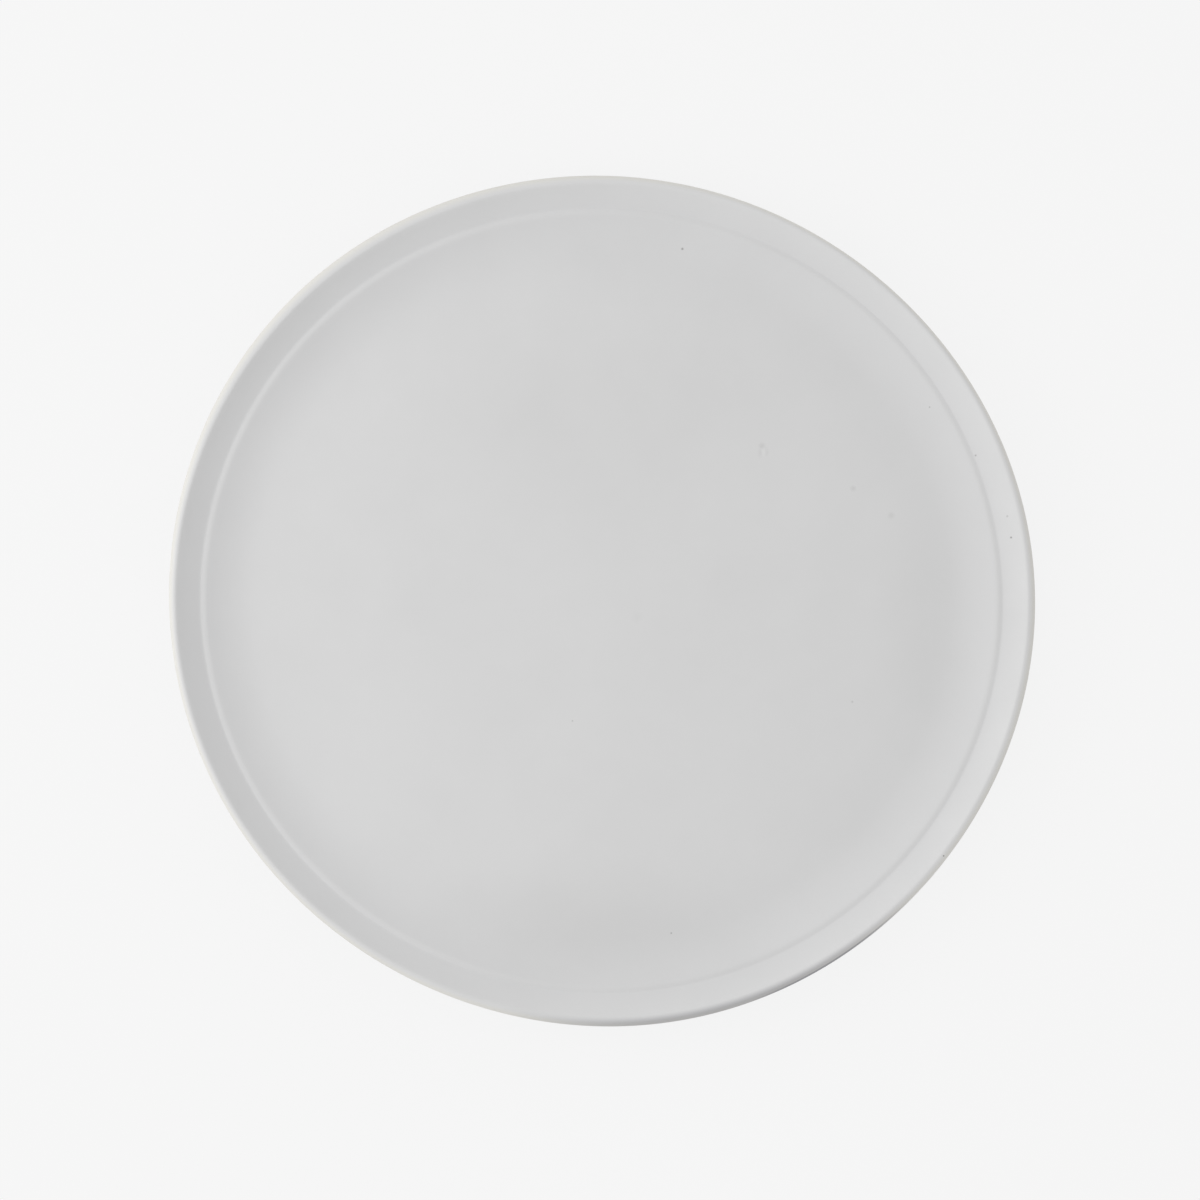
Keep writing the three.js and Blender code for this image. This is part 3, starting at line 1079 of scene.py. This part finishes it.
@dataclass(frozen=True)
class Studio:
    """The plain pale studio: camera overhead, one soft lamp, even surrounding light and a pale table.

    Attributes:
        camera_distance: Camera to the lip's edge, in millimetres.
        sensor: Width of the camera's sensor, in millimetres.
        window_azimuth: Direction of a broad window, in degrees from +X towards +Y.
        window_swing: How much stronger the room's light is on the window's side.
        table_side: The table's side, in metres.
        shadow_share: How much of the plate's shadow the table shows outside the lip.
        contact_reach: Radii between which the whole shadow fades to that share, in millimetres.
    """

    form: PlateForm
    frame_pixels: float = 1200.0
    plate_centre_pixels: tuple[float, float] = (601.3, 600.4)
    plate_radius_pixels: float = 428.9
    camera_distance: float = 1400.0
    sensor: float = 36.0
    key: Lamp = Lamp("key_left", azimuth=177.0, elevation=34.0, distance=0.8, side=0.5, level=0.23)
    room_colour: str = "#ffffff"
    horizon_level: float = 0.83
    zenith_level: float = 0.72
    window_azimuth: float = 162.0
    window_swing: float = 0.2
    ground: str = "#f6f6f6"
    table_glow: str = "#f9f9f9"
    table_colour: str = "#e4e4e4"
    table_side: float = 6.0
    shadow_share: float = 0.1
    contact_reach: tuple[float, float] = (108.0, 133.5)

    def camera(self) -> None:
        """Hangs the camera overhead, with the lens that gives the lip's edge its width in the frame."""
        pixels_per_mm = self.plate_radius_pixels / self.form.radius
        data = bpy.data.cameras.new("overhead_camera")
        data.sensor_width = self.sensor
        data.lens = self.sensor * self.camera_distance * pixels_per_mm / self.frame_pixels
        camera = placed("overhead_camera", data)
        middle = self.frame_pixels / 2
        camera.location = MM * Vector((
            (middle - self.plate_centre_pixels[0]) / pixels_per_mm,
            (self.plate_centre_pixels[1] - middle) / pixels_per_mm,
            self.form.lip_edge_height + self.camera_distance))
        bpy.context.scene.camera = camera

    @staticmethod
    def seen(tree: NodeTree) -> NodeSocket:
        """Tells the rays that show the background itself: from the camera, off a gloss or through glass.

        Args:
            tree: The tree that takes the nodes.

        Returns:
            A socket with 1 for such a ray and 0 for any other.
        """
        rays = add_node(tree, "ShaderNodeLightPath").outputs
        seen = rays["Is Camera Ray"]
        for kind in ("Is Glossy Ray", "Is Transmission Ray"):
            either = add_node(tree, "ShaderNodeMath", {0: seen, 1: rays[kind]}, operation="MAXIMUM")
            seen = either.outputs[0]
        return seen

    def light(self) -> None:
        """Hangs the lamp and lights the room, which is pale where the background itself is seen.

        The room's light goes evenly from one level at the horizon to another overhead, and it is stronger
        on the side of a broad window by a share that follows the cosine from the window's direction.
        """
        self.key.hang()
        world = bpy.data.worlds.new("pale_surround")
        world.use_nodes = True
        tree = world.node_tree
        tree.nodes.clear()
        way = add_node(tree, "ShaderNodeTexCoord").outputs["Generated"]
        turn = math.radians(self.window_azimuth)
        side = add_node(tree, "ShaderNodeVectorMath", {
            0: way, 1: (math.cos(turn), math.sin(turn), 0.0)}, operation="DOT_PRODUCT").outputs["Value"]
        up = add_node(tree, "ShaderNodeSeparateXYZ", {0: way}).outputs["Z"]
        level = add_node(tree, "ShaderNodeMapRange", {
            "Value": up, "To Min": self.horizon_level, "To Max": self.zenith_level}).outputs["Result"]
        swing = add_node(tree, "ShaderNodeMath", {
            0: side, 1: self.window_swing, 2: 1.0}, operation="MULTIPLY_ADD").outputs[0]
        strength = add_node(tree, "ShaderNodeMath", {0: level, 1: swing}, operation="MULTIPLY").outputs[0]
        lit = add_node(tree, "ShaderNodeBackground", {
            "Color": linear(self.room_colour), "Strength": strength})
        shown = add_node(tree, "ShaderNodeBackground", {"Color": linear(self.ground)})
        mix = add_node(tree, "ShaderNodeMixShader", {
            0: self.seen(tree), 1: lit.outputs[0], 2: shown.outputs[0]})
        add_node(tree, "ShaderNodeOutputWorld", {"Surface": mix.outputs[0]})
        bpy.context.scene.world = world

    def table(self) -> None:
        """Lays the pale table, which shows the ground's colour and a part of the plate's shadow.

        Under the plate it shows the whole shadow, which fades to that part just inside the lip.
        """
        half = self.table_side / 2
        mesh = bpy.data.meshes.new("pale_table")
        corners = [(-half, -half, 0.0), (half, -half, 0.0), (half, half, 0.0), (-half, half, 0.0)]
        mesh.from_pydata(corners, [], [(0, 1, 2, 3)])
        material = blank_material("pale_table")
        tree = material.node_tree
        card = add_node(tree, "ShaderNodeBsdfDiffuse", {"Color": linear(self.table_colour)})
        glow = add_node(tree, "ShaderNodeEmission", {"Color": linear(self.table_glow)})
        spot = add_node(tree, "ShaderNodeTexCoord").outputs["Object"]
        away = add_node(tree, "ShaderNodeVectorMath", {0: spot}, operation="LENGTH").outputs["Value"]
        inner, outer = (MM * reach for reach in self.contact_reach)
        bright = add_node(tree, "ShaderNodeMapRange", {
            "Value": away, "From Min": inner, "From Max": outer, "To Max": 1.0 - self.shadow_share},
            interpolation_type="SMOOTHSTEP").outputs["Result"]
        share = add_node(tree, "ShaderNodeMath", {0: self.seen(tree), 1: bright}, operation="MULTIPLY")
        mix = add_node(tree, "ShaderNodeMixShader", {
            0: share.outputs[0], 1: card.outputs[0], 2: glow.outputs[0]})
        add_node(tree, "ShaderNodeOutputMaterial", {"Surface": mix.outputs[0]})
        mesh.materials.append(material)
        table = placed("pale_table", mesh)
        table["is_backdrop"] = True


@dataclass
class DinnerPlate:
    """The whole plate: its clay, its foot ring and its three coats of glaze."""

    form: PlateForm

    def build(self) -> None:
        """Makes every piece, dresses it and puts it in place of its plain solid."""
        warp = KilnWarp(self.form)
        clay = ClayCore(self.form)
        coat = GlazeCoat(self.form)
        skin = self.form.glazed_skin()
        lip_edge = int(np.argmax(skin.points[:, 0]))
        face = skin.stretch(0, lip_edge)
        back = skin.stretch(lip_edge, len(skin.points) - 1)

        biscuit = BareClay().material()
        face_finish = SatinGlaze("satin_glaze_face", marks=FACE_MARKS).material()
        back_finish = SatinGlaze("satin_glaze_back", turning_depth=0.02).material()
        pieces = (
            (clay.body(skin), "porcelain_body", biscuit, "bare_porcelain"),
            (clay.foot_ring(), "foot_ring", biscuit, "bare_porcelain"),
            (coat.turned("face_glaze_fine", face), "face_glaze", face_finish, "white_glaze"),
            (coat.turned("back_glaze_fine", back, drips=True), "back_glaze", back_finish, "white_glaze"),
            (coat.turned("recess_glaze_fine", self.form.recess_skin(), drips=True), "recess_glaze",
             back_finish, "white_glaze"),
        )
        for section, node, finish, slot in pieces:
            piece = section.built(warp)
            piece.data.materials.append(finish)
            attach(piece, BODY)
            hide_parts(node)
            LOG.info("%s stands for %s, with %d faces", piece.name, node, len(piece.data.polygons))


def main() -> None:
    """Loads the frame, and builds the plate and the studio."""
    logging.basicConfig(level=logging.INFO, format="%(name)s: %(message)s")
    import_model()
    solid_low, solid_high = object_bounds()
    span = (solid_high - solid_low) / MM
    form = PlateForm(diameter=(span.x + span.y) / 2, height=span.z)
    DinnerPlate(form).build()
    studio = Studio(form)
    studio.camera()
    studio.light()
    studio.table()
    bpy.context.scene.view_settings.view_transform = "Standard"


if __name__ == "__main__":
    main()
